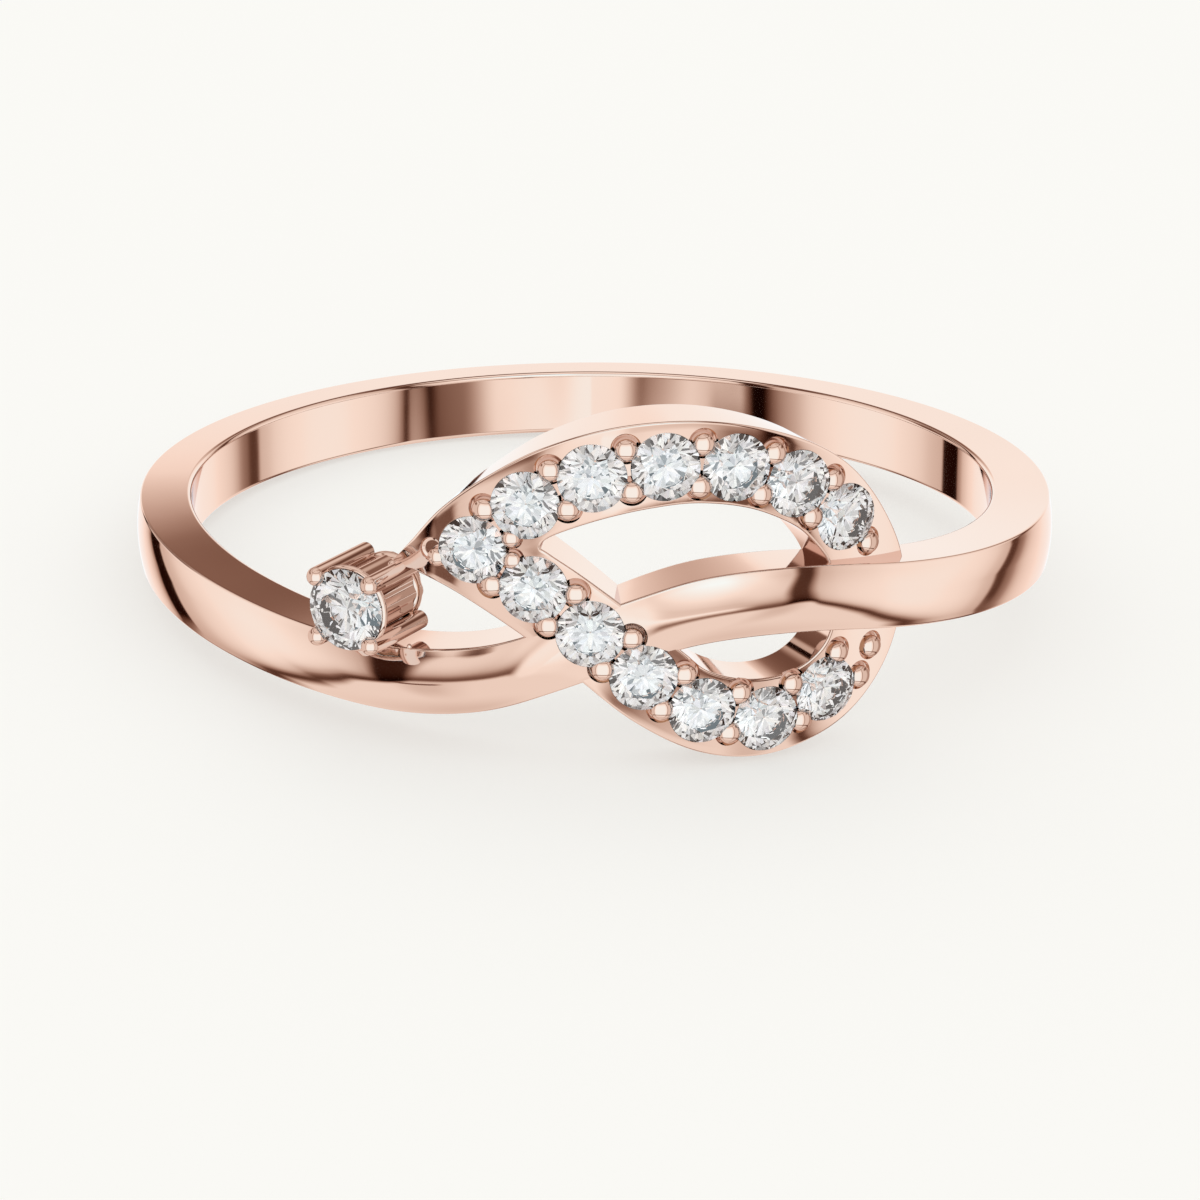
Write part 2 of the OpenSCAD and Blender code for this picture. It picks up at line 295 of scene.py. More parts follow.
# a grid is bent to the ribbon: each of its rows becomes a closed rib, with round edges, that runs
# from the leaf's outline to the opening's
bpy.ops.object.select_all(action="DESELECT")
section = 2 * (2 + 2 * ARC) + 2 * (ACROSS - 1)
bpy.ops.mesh.primitive_grid_add(x_subdivisions=RIBS, y_subdivisions=section, size=2)
loop = bpy.context.object
rows_of = {}
for v in loop.data.vertices:
    rows_of.setdefault(round(v.co.x, 4), []).append(v)
ribs = [sorted(rows_of[x], key=lambda v: v.co.y) for x in sorted(rows_of)]
arc = [math.radians(90 * k / ARC) for k in range(ARC + 1)]
for k, rib in enumerate(ribs):
    t = (len(LEAF) - 1) * k / (len(ribs) - 1)
    s = across_from(t) % len(OPENING)
    out_p, in_p = outline(LEAF, t, False), outline(OPENING, s, True)
    out_n, in_n = outward(LEAF, t, False), -outward(OPENING, s, True)
    if k in (0, len(ribs) - 1):
        out_n = Vector((-DEG_MM, 0))
        in_n = Vector((DEG_MM, 0))
    tip = (out_p.x - LEAF[0][0]) / DEG_MM
    ease = RIM * min(1, (tip / TIP_LENGTH) ** 2) if tip > 0 else 0
    profile = []
    for p, n, back in ((out_p, out_n, False), (in_p, in_n, True)):
        r = RIM if back else max(ease, TIP_RIM)
        side = [(p - n * r * (1 - math.sin(f)), INNER_R + r * (1 - math.cos(f)), 0) for f in arc]
        side += [(p - n * r * (1 - math.cos(f)), -r * (1 - math.sin(f)), 1) for f in arc]
        profile.append(side[::-1] if back else side)
    a, b = profile[0][-1][0], profile[1][0][0]
    flat = [(a.lerp(b, j / ACROSS), 0, 1) for j in range(1, ACROSS)]
    a, b = profile[1][-1][0], profile[0][0][0]
    under = [(a.lerp(b, j / ACROSS), INNER_R, 0) for j in range(1, ACROSS)]
    ring = profile[0] + flat + profile[1] + under
    ring.append(ring[0])
    for v, (p, r, from_face) in zip(rib, ring):
        v.co = around(p.x, p.y, r + face_at(p.x, p.y) if from_face else r)
clean_up(loop, 2e-4)

# stones and beads, as angle and height on the face
UPPER_STONES = [(-13.3, 2.08), (-7.3, 2.99), (0.1, 3.53), (8.2, 3.72), (16.3, 3.61), (24.0, 3.15),
                (30.7, 2.33)]
LOWER_STONES = [(-6.4, 1.38), (-0.1, 0.54), (5.9, -0.34), (12.7, -1.08), (20.6, -1.41),
                (28.6, -1.03)]
END_BEADS = [(-17.5, 1.88), (34.3, 1.72), (33.8, -0.95), (30.2, -0.34), (35.4, -0.40)]
# the two beads in the fork are smaller, and stand clear of one another
FORK_BEADS = {1: (-8.92, 2.35), 12: (-8.77, 1.93)}
SMALL_D = 1.28
BEAD_SIDE, BEAD_LIFT = 0.4, 0.045


def on_face(angle, height, out=0.0):
    tilt = math.atan(2 * face_dome(angle) * (height - DOME_TOP))
    turn = (Matrix.Rotation(math.radians(angle), 4, "Z")
            @ Matrix.Rotation(math.pi / 2 - tilt, 4, "X"))
    return Matrix.Translation(around(angle, height, face_at(angle, height) + out)) @ turn


# two beads stand between each stone and the next, one to each side
bead_places = []
for line in (UPPER_STONES, [UPPER_STONES[0]] + LOWER_STONES):
    for p, q in zip(line, line[1:]):
        p, q = Vector(p), Vector(q)
        along = Vector(((q.x - p.x) / DEG_MM, q.y - p.y)).normalized()
        side = Vector((-along.y * DEG_MM, along.x)) * BEAD_SIDE
        middle = (p + q) / 2 + Vector((0, BEAD_LIFT))
        bead_places += [middle + side, middle - side]
for k, p in FORK_BEADS.items():
    bead_places[k] = Vector(p)
tip_bead = len(bead_places)
bead_places += [Vector(p) for p in END_BEADS]
SMALLER, SMALLER_SIZE = [tip_bead, *FORK_BEADS], 0.8


def joined(pieces):
    only(pieces[0])
    for p in pieces[1:]:
        p.select_set(True)
    bpy.ops.object.join()
    return bpy.context.object


def copied(piece, matrix):
    copy = piece.copy()
    copy.data = piece.data.copy()
    copy.data.transform(matrix)
    bpy.context.collection.objects.link(copy)
    return copy


# draws the end of a cylinder out along Z, up or down, and makes it narrower
def draw_out(piece, way, reach, width):
    choose(edit(piece), "FACE", lambda f: f.normal.z * way > 0.9)
    bpy.ops.mesh.extrude_region_move(TRANSFORM_OT_translate={"value": (0, 0, way * reach)})
    bpy.ops.transform.resize(value=(width, width, 1), center_override=(0, 0, 0))
    bpy.ops.object.mode_set(mode="OBJECT")


# seats: a straight cut for the girdle, and a cone for the stone's point
SEAT_CLEAR, SEAT_LENGTH, SEAT_UP = 0.005, 1, 0.46
SEAT_CONE, SEAT_POINT = 0.52, 0.08
bpy.ops.mesh.primitive_cylinder_add(vertices=64, radius=SMALL_D / 2 + SEAT_CLEAR, depth=SEAT_LENGTH,
                                    location=(0, 0, SEAT_UP))
drill = bpy.context.object
bpy.ops.object.transform_apply(location=True, rotation=True, scale=True)
draw_out(drill, -1, SEAT_CONE, SEAT_POINT)
seats = joined([copied(drill, on_face(a, z)) for a, z in UPPER_STONES + LOWER_STONES])


def take_out(piece, cutter):
    only(piece)
    cut = piece.modifiers.new("cut", "BOOLEAN")
    cut.operation = "DIFFERENCE"
    cut.solver = "MANIFOLD"
    cut.object = cutter
    bpy.ops.object.modifier_apply(modifier=cut.name)
    bpy.data.objects.remove(cutter)


# hollows: a stepped cutter leaves a shallow round hollow with two fine steps round each bead
HOLLOW_R, HOLLOW_LENGTH = 0.290, 0.3
HOLLOW_STEPS = [(0.045, 0.95), (0.012, 0.90), (0.05, 0.92), (0.02, 0.8)]   # depth, narrowing
HOLLOW_AWAY, TIP_HOLLOW_AWAY = (0, 0.02), (-0.7, 0.13)
bpy.ops.mesh.primitive_cylinder_add(vertices=48, radius=HOLLOW_R, depth=HOLLOW_LENGTH,
                                    location=(0, 0, HOLLOW_LENGTH / 2))
burr = bpy.context.object
bpy.ops.object.transform_apply(location=True, rotation=True, scale=True)
for depth, width in HOLLOW_STEPS:
    draw_out(burr, -1, depth, width)


def hollow_at(k):
    away = TIP_HOLLOW_AWAY if k == tip_bead else HOLLOW_AWAY
    size = SMALLER_SIZE if k in SMALLER else 1.0
    return on_face(*(bead_places[k] + Vector(away))) @ Matrix.Scale(size, 4)


# neighbouring hollows overlap, so they are cut in three rounds. The band is cut too, where the
# loop's lower arm lies over it.
hollow_groups = [joined([copied(burr, hollow_at(k)) for k in range(g, len(bead_places), 3)])
                 for g in range(3)]
OVER_BAND = range(12, 19)
under = [joined([copied(drill, on_face(a, z)) for a, z in LOWER_STONES[:3]])]
under += [copied(burr, hollow_at(k)) for k in OVER_BAND]
for cutter in under:
    take_out(band, cutter)
for cutter in [seats] + hollow_groups:
    take_out(loop, cutter)
bpy.data.objects.remove(drill)
bpy.data.objects.remove(burr)

# a finished piece is laid down on the ring's side, in metres, where the ring rests by itself
FINGER_AT = (-0.000069, 0.000215, 0.001494)
REST_TURN = (Matrix.Rotation(math.radians(-2.67), 4, "Y")
             @ Matrix.Rotation(math.radians(-4.25), 4, "X"))
LAY_DOWN = Matrix.Translation(FINGER_AT) @ REST_TURN @ Matrix.Scale(0.001, 4)


def lay_down(piece, name, material, slot, *nodes, sharp=32, crisp=False):
    only(piece)
    bpy.ops.object.transform_apply(location=True, rotation=True, scale=True)
    bpy.ops.object.shade_smooth_by_angle(angle=math.radians(sharp))
    if crisp:
        flat = piece.modifiers.new("flat", "WEIGHTED_NORMAL")
        flat.weight = 100
        flat.keep_sharp = True
        bpy.ops.object.modifier_apply(modifier=flat.name)
    piece.data.transform(LAY_DOWN)
    piece.data.update()
    piece.name = name
    piece.data.name = name
    piece.data.materials.clear()
    piece.data.materials.append(material)
    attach(piece, "root")
    if nodes:
        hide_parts(*nodes)


lay_down(band, "band", gold, "rose_gold", "ring_metal", crisp=True)
lay_down(loop, "paved_loop", gold, "rose_gold", "ring_metal", crisp=True)

# The beads: small posts of gold raised between the stones and pushed over their edges, each with a
# round polished top.
BEAD_R, BEAD_ROUND, BEAD_RISE, BEAD_ROOT = 0.215, 0.68, 0.165, 0.3


# a post with a round top: half a ball, whose open edge is drawn down and closed
def domed_post(radius, depth):
    bpy.ops.mesh.primitive_uv_sphere_add(segments=32, ring_count=24, radius=radius)
    post = bpy.context.object
    choose(edit(post), "VERT", lambda v: v.co.z < -1e-4)
    bpy.ops.mesh.delete(type="VERT")
    choose(bmesh.from_edit_mesh(post.data), "EDGE", lambda e: e.is_boundary)
    bpy.ops.mesh.extrude_region_move(TRANSFORM_OT_translate={"value": (0, 0, -depth)})
    bpy.ops.mesh.edge_face_add()
    bpy.ops.object.mode_set(mode="OBJECT")
    return post


bead = domed_post(BEAD_R, BEAD_ROOT)
for v in bead.data.vertices:
    if v.co.z > 0:
        v.co.z *= BEAD_ROUND

# room: the space that a stone of unit diameter fills, a little larger all round
ROOM_R, ROOM_GIRDLE = 0.508, 0.05
ROOM_CROWN, ROOM_POINT = (1, 0.15, 0.56), (-1, 0.42, 0.03)   # way, reach, narrowing
bpy.ops.mesh.primitive_cylinder_add(vertices=64, radius=ROOM_R, depth=ROOM_GIRDLE)
room = bpy.context.object
bpy.ops.object.transform_apply(location=True, rotation=True, scale=True)
for way, reach, width in (ROOM_CROWN, ROOM_POINT):
    draw_out(room, way, reach, width)

NEAR = 1.2   # a bead reaches only stones whose middle is nearer than this
beads = []
for k, p in enumerate(bead_places):
    size = SMALLER_SIZE if k in SMALLER else 1.0
    rise = (BEAD_RISE - BEAD_ROUND * BEAD_R) * size
    post = copied(bead, on_face(p.x, p.y, rise) @ Matrix.Scale(size, 4))
    here = on_face(p.x, p.y).translation
    for a, z in UPPER_STONES + LOWER_STONES:
        if (on_face(a, z).translation - here).length < NEAR:
            take_out(post, copied(room, on_face(a, z) @ Matrix.Scale(SMALL_D, 4)))
    beads.append(post)
beads = joined(beads)
bpy.data.objects.remove(bead)

# the same gold, burnished by the beading tool to a mirror's polish
MIRROR_FINE, MIRROR_HAZY = 0.0005, 0.003
bright_gold = gold.copy()
bright_gold.name = "burnished_rose_gold"
burnish = bright_gold.node_tree.nodes[rough.name]
burnish.inputs["To Min"].default_value = MIRROR_FINE
burnish.inputs["To Max"].default_value = MIRROR_HAZY
lay_down(beads, "beads", bright_gold, "rose_gold", "ring_metal")

# The prong setting: four round prongs drawn up over the edge of the larger stone, a thin rail under
# it, a finely ribbed core between the prongs and a rounded base, all of the same gold. It is
# soldered to the band and to the loop's tip by three small feet.
SOLO_ANGLE, SOLO_HEIGHT, SOLO_R = -26.3, 0.9, 10.22
SOLO_TURN, SOLO_D = -29.0, 1.55
BACK = -1.66
PRONG_PITCH, PRONG_R, PRONG_RISE = 0.82, 0.18, 0.26
RAIL_R, RAIL_THICK, RAIL_UP = SOLO_D / 2 - 0.02, 0.075, -0.115
CORE_R, CORE_RIBS, CORE_WAVE, CORE_TOP = 0.65, 12, 0.014, -0.13
BASE_R, BASE_DEPTH, BASE_ROUND = 0.70, 0.28, 0.13
# columns: angle, height, radius from the finger's axis, size
FEET = [(-21.0, 0.06, 9.43, 0.05), (-23.3, 1.56, 9.3, 0.1), (-31.0, 0.12, 9.3, 0.13)]
SETTING = (Matrix.Translation(around(SOLO_ANGLE, SOLO_HEIGHT, SOLO_R))
           @ Matrix.Rotation(math.radians(SOLO_TURN), 4, "Z")
           @ Matrix.Rotation(math.pi / 2, 4, "X"))
solo_place = SETTING @ Matrix.Scale(SOLO_D, 4)

prong = domed_post(PRONG_R, -(BACK - PRONG_RISE + PRONG_R))
prongs = []
for k in range(4):
    turn = Matrix.Rotation(math.radians(45 + 90 * k), 4, "Z")
    shift = Matrix.Translation((PRONG_PITCH, 0, PRONG_RISE - PRONG_R))
    prongs.append(copied(prong, SETTING @ turn @ shift))
    take_out(prongs[-1], copied(room, solo_place))
bpy.data.objects.remove(prong)
prongs = joined(prongs)

bpy.ops.mesh.primitive_cylinder_add(vertices=144, radius=CORE_R, depth=CORE_TOP - BACK,
                                    location=(0, 0, (BACK + CORE_TOP) / 2))
core = bpy.context.object
bpy.ops.object.transform_apply(location=True, rotation=True, scale=True)
for v in core.data.vertices:
    a = math.atan2(v.co.y, v.co.x)
    r = CORE_R + CORE_WAVE * math.cos(CORE_RIBS * a)
    v.co.x, v.co.y = r * math.cos(a), r * math.sin(a)

bpy.ops.mesh.primitive_cylinder_add(vertices=96, radius=BASE_R, depth=BASE_DEPTH,
                                    location=(0, 0, BACK + BASE_DEPTH / 2))
base = bpy.context.object
bpy.ops.object.transform_apply(location=True, rotation=True, scale=True)
choose(edit(base), "FACE", lambda f: abs(f.normal.z) > 0.9)
bpy.ops.mesh.bevel(offset=BASE_ROUND, segments=8, affect="EDGES", profile=0.5)
bpy.ops.object.mode_set(mode="OBJECT")
base.data.transform(SETTING)
core.data.transform(SETTING)
take_out(core, copied(room, solo_place))

bpy.ops.mesh.primitive_torus_add(major_segments=96, minor_segments=20, major_radius=RAIL_R,
                                 minor_radius=RAIL_THICK, location=(0, 0, RAIL_UP))
rail = bpy.context.object
bpy.ops.object.transform_apply(location=True, rotation=True, scale=True)
rail.data.transform(SETTING)
take_out(rail, copied(room, solo_place))
bpy.data.objects.remove(room)

feet = []
for angle, height, radius, size in FEET:
    # a small drop of solder
    bpy.ops.mesh.primitive_uv_sphere_add(segments=24, ring_count=16, radius=size,
                                         location=around(angle, height, radius))
    feet.append(bpy.context.object)
setting = joined([prongs, core, base, rail] + feet)
lay_down(setting, "prong_setting", bright_gold, "rose_gold", "ring_metal")

# The stones: clear round brilliants, ground flat facet by facet from a round blank, with a thin
# polished girdle. Sizes are shares of the diameter, and angles are those of a fine modern cut.
BLANK_DEPTH = 1.2
TABLE, GIRDLE = 0.56, 0.03
CROWN_ANGLE, POINT_ANGLE = 34.5, 40.9
STAR_LENGTH, LOWER_LENGTH = 0.5, 0.77
STONE_TWIST, SOLO_TWIST = 17, 8   # how far each small stone is turned on, and the larger one
crown_rise = math.tan(math.radians(CROWN_ANGLE))
point_rise = math.tan(math.radians(POINT_ANGLE))
half_step = math.radians(22.5)   # half the angle from one main facet to the next


def spot(turn, radius, height):
    return Vector((radius * math.cos(turn), radius * math.sin(turn), height))


bpy.ops.mesh.primitive_cylinder_add(vertices=96, radius=0.5, depth=BLANK_DEPTH)
blank = bpy.context.object
edit(blank)


def grind(point, normal):
    bpy.ops.mesh.select_all(action="SELECT")
    bpy.ops.mesh.bisect(plane_co=point, plane_no=normal, use_fill=True, clear_outer=True,
                        threshold=1e-6)


table_r = TABLE / 2
top = (0.5 - table_r) * crown_rise
girdle_top, girdle_low = GIRDLE / 2, -GIRDLE / 2
grind((0, 0, girdle_top + top), (0, 0, 1))
for k in range(8):
    # the main facets above and below the girdle
    main = 2 * half_step * k
    lean = math.radians(CROWN_ANGLE)
    grind(spot(main, 0.5, girdle_top), spot(main, math.sin(lean), math.cos(lean)))
    lean = math.radians(POINT_ANGLE)
    grind(spot(main, 0.5, girdle_low), spot(main, math.sin(lean), -math.cos(lean)))
    # the star facet beside the table
    star = main + half_step
    edge_r = table_r * math.cos(half_step)
    star_r = edge_r + STAR_LENGTH * (0.5 - edge_r)
    star_z = (0.5 - star_r * math.cos(half_step)) * crown_rise
    grind(spot(star, star_r, girdle_top + star_z), spot(star, top - star_z, star_r - edge_r))
    # the pairs of facets along the girdle, above and below it
    low_r = 0.5 * (1 - LOWER_LENGTH)
    low_z = -(0.5 - low_r * math.cos(half_step)) * point_rise
    for way in (-1, 1):
        a, b = spot(main, 0.5, 0), spot(main + way * half_step, 0.5, 0)
        for radius, height, edge in ((star_r, star_z, girdle_top), (low_r, low_z, girdle_low)):
            s = spot(main + way * half_step, radius, height)
            n = (b - a).cross(s - a)
            if n.dot(a) < 0:
                n.negate()
            grind(a + Vector((0, 0, edge)), n)
bpy.ops.object.mode_set(mode="OBJECT")
clean_up(blank, 1e-5)

STONE_IOR = 2.42
WARM_WATER, COOL_WATER = (1.0, 0.988, 0.974, 1), (1.0, 0.994, 0.984, 1)
STONE_HAZE = 0.003
clear = bpy.data.materials.new("brilliant_stone")
clear.use_nodes = True
nodes, link = clear.node_tree.nodes, clear.node_tree.links.new
shader = nodes["Principled BSDF"]
shader.inputs["Transmission Weight"].default_value = 1.0
shader.inputs["IOR"].default_value = STONE_IOR
place = nodes.new("ShaderNodeTexCoord")
tint = nodes.new("ShaderNodeTexNoise")
tint.inputs["Scale"].default_value = 1200
link(place.outputs["Object"], tint.inputs["Vector"])
water = nodes.new("ShaderNodeValToRGB")
water.color_ramp.elements[0].color = WARM_WATER
water.color_ramp.elements[1].color = COOL_WATER
link(tint.outputs["Fac"], water.inputs["Fac"])
link(water.outputs["Color"], shader.inputs["Base Color"])
polish = nodes.new("ShaderNodeMapRange")
polish.inputs["To Min"].default_value = 0.0
polish.inputs["To Max"].default_value = STONE_HAZE
link(tint.outputs["Fac"], polish.inputs["Value"])
link(polish.outputs["Result"], shader.inputs["Roughness"])

for k, (a, z) in enumerate(UPPER_STONES + LOWER_STONES):
    turn = Matrix.Rotation(math.radians(STONE_TWIST * k), 4, "Z") @ Matrix.Scale(SMALL_D, 4)
    stone = copied(blank, on_face(a, z) @ turn)
    lay_down(stone, f"small_stone_{k + 1:02d}", clear, "clear_stone", sharp=1)

turn = Matrix.Rotation(math.radians(SOLO_TWIST), 4, "Z")
stone = copied(blank, SETTING @ turn @ Matrix.Scale(SOLO_D, 4))
lay_down(stone, "large_stone_cut", clear, "clear_stone", "large_stone", sharp=1)
bpy.data.objects.remove(blank)

# Floor, light and camera: a plain pale floor of paper, a studio of large soft panels with narrow
# gaps between them, and the camera a little above the ring's edge.
FLOOR_SIZE = 6
PAPER_DARK, PAPER_PALE = (0.418, 0.415, 0.399, 1), (0.424, 0.420, 0.405, 1)
PAPER_GLOW, PAPER_GLOW_STRENGTH = (1.0, 0.992, 0.955, 1), 0.513
bpy.ops.object.select_all(action="DESELECT")
bpy.ops.mesh.primitive_plane_add(size=FLOOR_SIZE)
floor = bpy.context.object
floor.name = "floor"
paper = bpy.data.materials.new("pale_paper")
paper.use_nodes = True
nodes, link = paper.node_tree.nodes, paper.node_tree.links.new
shader = nodes["Principled BSDF"]
shader.inputs["Roughness"].default_value = 1.0
shader.inputs["Specular IOR Level"].default_value = 0.0
place = nodes.new("ShaderNodeTexCoord")
pulp = nodes.new("ShaderNodeTexNoise")
pulp.inputs["Scale"].default_value = 40
link(place.outputs["Object"], pulp.inputs["Vector"])
shade = nodes.new("ShaderNodeValToRGB")
shade.color_ramp.elements[0].color = PAPER_DARK
shade.color_ramp.elements[1].color = PAPER_PALE
link(pulp.outputs["Fac"], shade.inputs["Fac"])
link(shade.outputs["Color"], shader.inputs["Base Color"])
shader.inputs["Emission Color"].default_value = PAPER_GLOW
shader.inputs["Emission Strength"].default_value = PAPER_GLOW_STRENGTH
floor.data.materials.append(paper)
floor.visible_glossy = False
floor.visible_transmission = False

scene = bpy.context.scene
scene.view_settings.view_transform = "Standard"
scene.view_settings.look = "None"
studio = bpy.data.worlds.new("studio")
scene.world = studio
studio.use_nodes = True
studio.cycles.sampling_method = "NONE"
nodes, link = studio.node_tree.nodes, studio.node_tree.links.new


# the light is worked out from the direction in which it is seen
def calc(operation, *values):
    node = nodes.new("ShaderNodeMath")
    node.operation = operation
    for socket, value in zip(node.inputs, values):
        if isinstance(value, (int, float)):
            socket.default_value = value
        else:
            link(value, socket)
    return node.outputs[0]


# goes softly from at_low to at_high, as the value goes from low to high
def smooth(value, low, high, at_low=0.0, at_high=1.0):
    node = nodes.new("ShaderNodeMapRange")
    node.interpolation_type = "SMOOTHSTEP"
    link(value, node.inputs["Value"])
    for name, number in (("From Min", low), ("From Max", high), ("To Min", at_low),
                         ("To Max", at_high)):
        node.inputs[name].default_value = number
    return node.outputs["Result"]


# a dark stripe: the value at its middle, its half width, its soft edge and how dark it is
def gap(value, middle, half, soft, depth):
    away = calc("ABSOLUTE", calc("SUBTRACT", value, middle))
    return smooth(away, half, half + soft, 1 - depth, 1.0)


# a smooth line through points of value and light
def curve(value, points):
    (first, _), (last, _) = points[0], points[-1]
    low, high = min(w for _, w in points), max(w for _, w in points)
    node = nodes.new("ShaderNodeFloatCurve")
    line = node.mapping.curves[0]
    line.points[0].location = (0, (points[0][1] - low) / (high - low))
    line.points[-1].location = (1, (points[-1][1] - low) / (high - low))
    for x, w in points[1:-1]:
        line.points.new((x - first) / (last - first), (w - low) / (high - low))
    for point in line.points:
        point.handle_type = "AUTO_CLAMPED"
    node.mapping.update()
    link(calc("DIVIDE", calc("SUBTRACT", value, first), last - first), node.inputs["Value"])
    return calc("ADD", calc("MULTIPLY", node.outputs["Value"], high - low), low)


def blend(share, a, b):
    rest = calc("SUBTRACT", 1.0, share)
    return calc("ADD", calc("MULTIPLY", share, b), calc("MULTIPLY", rest, a))


# turn is the direction round the ring: 0 behind it, 90 to its right, 180 in front. rise is the
# angle above the ring's middle plane.
look = nodes.new("ShaderNodeTexCoord").outputs["Generated"]
axes = []
for column in range(3):
    dot = nodes.new("ShaderNodeVectorMath")
    dot.operation = "DOT_PRODUCT"
    link(look, dot.inputs[0])
    dot.inputs[1].default_value = REST_TURN.col[column][:3]
    axes.append(dot.outputs["Value"])
turn = calc("MULTIPLY", calc("ARCTAN2", axes[0], axes[1]), 180 / math.pi)
rise = calc("MULTIPLY", calc("ARCSINE", axes[2]), 180 / math.pi)

# wall panels: they lean toward the back as they rise, and beside the two gaps at the back they
# are slanted near the ground
PANELS = [
    (-180, 1.16), (-170, 1.12), (-160, 1.08), (-148, 0.95), (-136, 0.86), (-124, 0.60),
    (-121, 0.70), (-115, 0.88), (-106, 1.00), (-90, 1.07), (-80, 1.04), (-74, 0.97), (-66, 0.86),
    (-58, 0.66), (-51, 0.56), (-42, 0.30), (-39, 0.58), (-36, 0.76), (-30, 1.00), (-22, 1.12),
    (0, 1.15), (18, 1.14), (28, 1.10), (38, 0.96), (44, 0.84), (50, 0.55), (54, 0.24), (58, 0.14),
    (61, 0.12), (63, 0.58), (67, 0.68), (73, 0.88), (82, 1.00), (94, 1.06), (104, 1.00),
    (112, 0.93), (118, 0.80), (121, 0.70), (124, 0.60), (133, 0.84), (145, 0.93), (154, 1.03),
    (166, 1.12), (180, 1.16)]
FRONT_GAPS = [(-129.8, 3.2, 4.0, 0.98), (127.3, 2.0, 4.5, 0.93)]
BACK_GAPS, BACK_GAPS_ABOVE = [(-46.8, 4.2, 1.6, 0.99), (60.0, 1.2, 3.0, 0.6)], (-31, -25)
LEAN_LEFT, LEAN_RIGHT = -0.004, 0.009
SLANT, SLANT_FROM, SLANT_OVER = 0.75, -16.0, 18.0
high_up = calc("MAXIMUM", rise, 0.0)
squared = calc("MULTIPLY", high_up, high_up)
lean = calc("MULTIPLY", squared, smooth(turn, -90, 90, LEAN_LEFT, LEAN_RIGHT))
right_gap = calc("MULTIPLY", smooth(turn, 25, 42), smooth(turn, 70, 95, 1.0, 0.0))
left_gap = calc("MULTIPLY", smooth(turn, -85, -60), smooth(turn, -40, -25, 1.0, 0.0))
slanted = calc("MINIMUM", calc("MAXIMUM", calc("ADD", rise, -SLANT_FROM), 0.0), SLANT_OVER)
side = calc("SUBTRACT", right_gap, left_gap)
slant = calc("MULTIPLY", calc("MULTIPLY", slanted, SLANT), side)
leant = calc("ADD", turn, calc("ADD", lean, slant))
panels = curve(leant, PANELS)
for stripe in FRONT_GAPS:
    panels = calc("MULTIPLY", panels, gap(leant, *stripe))
not_low = smooth(rise, *BACK_GAPS_ABOVE)
for stripe in BACK_GAPS:
    panels = calc("MULTIPLY", panels, blend(not_low, 1.0, gap(leant, *stripe)))
# a dark flag behind the ring at the left, which the walls of the right crossing pick up
FLAG, FLAG_FROM, FLAG_TO = (-55, 8, 6, 0.88), (8, 13), (30, 38)
raised = calc("MULTIPLY", smooth(rise, *FLAG_FROM), smooth(rise, *FLAG_TO, 1.0, 0.0))
panels = calc("MULTIPLY", panels, blend(raised, 1.0, gap(turn, *FLAG)))
# the panels behind and beside the ring grow darker as they rise
HIGH_SHADE = 0.72
side_on = smooth(calc("ABSOLUTE", turn), 118, 136, 1.0, 0.0)
panels = calc("MULTIPLY", panels, blend(side_on, 1.0, smooth(rise, -8, 50, 1.0, HIGH_SHADE)))
# straight behind the ring the panel ends low, and a little higher toward the right
BACK_PANEL = [
    (-20, 0.98), (6, 1.10), (14, 1.10), (16.5, 1.04), (18, 0.84), (20, 0.67), (22, 0.50),
    (24, 0.28), (26.5, 0.15), (34, 0.10), (60, 0.10)]
HIGHER_AT_RIGHT = 3.4
behind = smooth(calc("ABSOLUTE", turn), 18, 40, 1.0, 0.0)
to_right = calc("MULTIPLY", smooth(turn, 0, 7), HIGHER_AT_RIGHT)
back = curve(calc("SUBTRACT", rise, to_right), BACK_PANEL)
panels = calc("MULTIPLY", panels, blend(behind, 1.0, back))

# the line where walls and ground meet, by turn and rise, and the shade above it, by the height
# above that line and the share of the panels' light there
FLOOR_LINE = [
    (-180, -23), (-175, -23), (-172, -20), (-169, -17.5), (-166, -15), (-163, -13.5),
    (-157, -12), (-151, -10), (-145, -7.5), (-139, -6.5), (-133, -12), (-127, -18), (-121, -21.5),
    (-115, -25), (-109, -31), (-103, -36), (-92, -41), (-80, -44.5), (-60, -42), (0, -40),
    (60, -42), (80, -44), (91, -43), (97, -41), (103, -37), (109, -32.5), (115, -26.5),
    (120, -20.5), (122, -17), (125, -13), (129, -14.5), (133, -18), (139, -20.5), (145, -21.5),
    (151, -22.5), (157, -23), (163, -23.5), (172, -24.5), (180, -23)]
SLOW_SHADE = [
    (-10, 0.05), (0, 0.05), (3, 0.12), (6, 0.40), (9, 0.60), (12, 0.78), (16, 0.90), (22, 0.97),
    (34, 1.0)]
QUICK_SHADE = [
    (-10, 0.05), (0, 0.05), (3, 0.26), (6, 0.64), (9, 0.84), (12, 0.93), (16, 0.98), (22, 1.0),
    (34, 1.0)]
LEFT_SHADE = [
    (-10, 0.10), (0, 0.10), (4, 0.16), (8, 0.34), (12, 0.54), (16, 0.69), (20, 0.80), (26, 0.91),
    (32, 0.97), (40, 1.0)]
RIGHT_SHADE = [
    (-10, 0.18), (0, 0.18), (2, 0.32), (4, 0.60), (6, 0.86), (7.5, 0.96), (9, 0.86), (13, 0.66),
    (17, 0.66), (23, 0.74), (30, 0.83), (36, 0.92), (44, 1.0)]
above = calc("SUBTRACT", rise, curve(turn, FLOOR_LINE))
side_shade = blend(smooth(turn, -95, -75), curve(above, SLOW_SHADE), curve(above, QUICK_SHADE))
front_shade = blend(smooth(turn, 140, 152), curve(above, LEFT_SHADE), curve(above, RIGHT_SHADE))
shade = blend(side_on, front_shade, side_shade)
